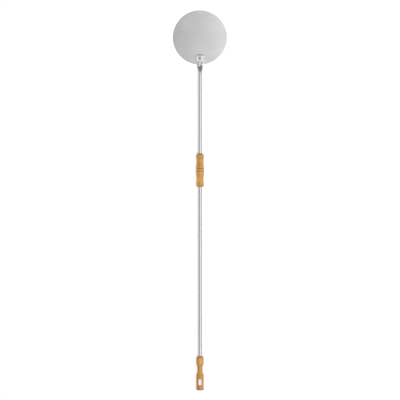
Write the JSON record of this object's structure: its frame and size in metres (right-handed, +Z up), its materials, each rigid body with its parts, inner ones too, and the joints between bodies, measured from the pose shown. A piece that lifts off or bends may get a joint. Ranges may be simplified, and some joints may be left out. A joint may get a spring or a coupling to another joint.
{
  "type": "pizza peel",
  "caption": "Round steel turning peel: flat blade riveted to a long tube handle, with a sliding turned wood grip and a slotted wood end grip.",
  "frame": {"origin": "centre of the round blade, on its underside", "axes": "+Z up from the blade's underside, +Y along the handle towards the blade's front edge, +X to the right seen from the end grip"},
  "size_m": [0.2, 1.4, 0.03],
  "materials": {
    "blade_steel": "satin stainless sheet",
    "tube_steel": "drawn stainless tube",
    "rivet_steel": "smooth domed steel",
    "grip_wood": "honey varnish",
    "end_wood": "honey varnish",
    "sleeve_plastic": "natural nylon"
  },
  "bodies": {
    "peel": {"blade": "blade_steel", "handle_tube": "tube_steel", "blade_rivet_front": "rivet_steel", "blade_rivet_left": "rivet_steel", "blade_rivet_right": "rivet_steel", "stop_rivet": "rivet_steel", "end_grip": "end_wood", "end_grip_pin": "rivet_steel"},
    "sleeve": {"grip_sleeve": "sleeve_plastic"},
    "grip": {"slide_grip": "grip_wood"}
  },
  "joints": [
    {"name": "grip_slide", "type": "slide", "parent": "peel", "child": "sleeve", "axis": [0, -1, 0], "range_m": [0, 0.6215]},
    {"name": "grip_spin", "type": "hinge", "parent": "sleeve", "child": "grip", "pos_m": [0, -0.49, 0.015], "axis": [0, 1, 0], "continuous": true}
  ]
}
